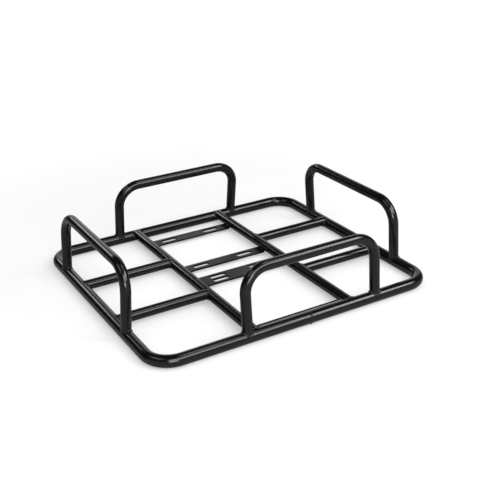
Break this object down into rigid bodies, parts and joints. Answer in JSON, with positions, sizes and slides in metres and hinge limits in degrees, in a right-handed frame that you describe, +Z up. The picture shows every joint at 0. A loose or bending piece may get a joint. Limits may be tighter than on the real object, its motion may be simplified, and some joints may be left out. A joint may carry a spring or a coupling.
{
  "type": "motorcycle luggage rack",
  "caption": "Welded round-tube luggage rack: a bent perimeter frame with a grid deck, slotted mounting plates and upright hoops round the edge that hold the load.",
  "frame": {"origin": "under the middle of the perimeter frame, at the level its tube rests on", "axes": "+X across the motorcycle along the long side, +Y towards the rear hoop, +Z up"},
  "size_m": [0.43, 0.3768, 0.1033],
  "materials": {
    "tube_paint": "semi-gloss black powder coat",
    "plate_paint": "satin black powder coat",
    "weld_paint": "semi-gloss black powder coat over weld beads"
  },
  "bodies": {
    "root": {"cross_tube_left_front": "tube_paint", "cross_tube_left_front_welds": "weld_paint", "cross_tube_left_rear": "tube_paint", "cross_tube_left_rear_welds": "weld_paint", "cross_tube_right_front": "tube_paint", "cross_tube_right_front_welds": "weld_paint", "cross_tube_right_rear": "tube_paint", "cross_tube_right_rear_welds": "weld_paint", "frame_seam_weld": "weld_paint", "front_stay": "tube_paint", "hoop_front": "tube_paint", "hoop_front_welds": "weld_paint", "hoop_left": "tube_paint", "hoop_left_welds": "weld_paint", "hoop_rear": "tube_paint", "hoop_rear_welds": "weld_paint", "hoop_right": "tube_paint", "hoop_right_welds": "weld_paint", "mount_plate_front": "plate_paint", "mount_plate_front_welds": "weld_paint", "mount_plate_middle": "plate_paint", "mount_plate_middle_welds": "weld_paint", "mount_plate_rear": "plate_paint", "mount_plate_rear_welds": "weld_paint", "perimeter_frame": "tube_paint", "rail_left": "tube_paint", "rail_left_welds": "weld_paint", "rail_right": "tube_paint", "rail_right_welds": "weld_paint"}
  },
  "joints": []
}
